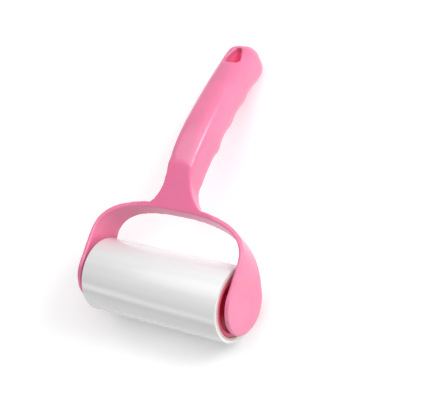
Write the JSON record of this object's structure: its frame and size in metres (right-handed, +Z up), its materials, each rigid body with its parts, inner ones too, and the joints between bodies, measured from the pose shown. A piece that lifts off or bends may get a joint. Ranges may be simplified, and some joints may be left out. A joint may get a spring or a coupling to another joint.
{
  "type": "lint roller",
  "caption": "Hand lint roller: a wound roll of adhesive sheets turning in a wide yoke with a bow-shaped hollow grip, finger grooves and a hang hole.",
  "frame": {"origin": "middle of the footprint, on the surface that the roller lies on", "axes": "+X along the roller axis to the right-hand arm, +Y from the roller towards the grip's tip, +Z up, from the finger grooves to the palm side"},
  "size_m": [0.1138, 0.1844, 0.0492],
  "materials": {
    "pink_frame": "satin moulded ABS with a fine-grained neck",
    "pink_back": "satin moulded ABS",
    "axle_plastic": "moulded acetal",
    "plug_plastic": "moulded polypropylene",
    "core_board": "spiral wound cardboard",
    "sheet_edges": "wound paper edges",
    "sheet_face": "white adhesive sheet with a soft sheen"
  },
  "bodies": {
    "handle": {"handle_frame": "pink_frame", "grip_back": "pink_back", "left_axle_stub": "axle_plastic", "right_axle_stub": "axle_plastic"},
    "roller": {"left_end_plug": "plug_plastic", "right_end_plug": "plug_plastic", "core_tube": "core_board", "sheet_roll": "sheet_edges", "outer_sheet": "sheet_face"}
  },
  "joints": [
    {"name": "roller_spin", "type": "hinge", "parent": "handle", "child": "roller", "pos_m": [0, -0.0692, 0.023], "axis": [1, 0, 0], "continuous": true}
  ]
}
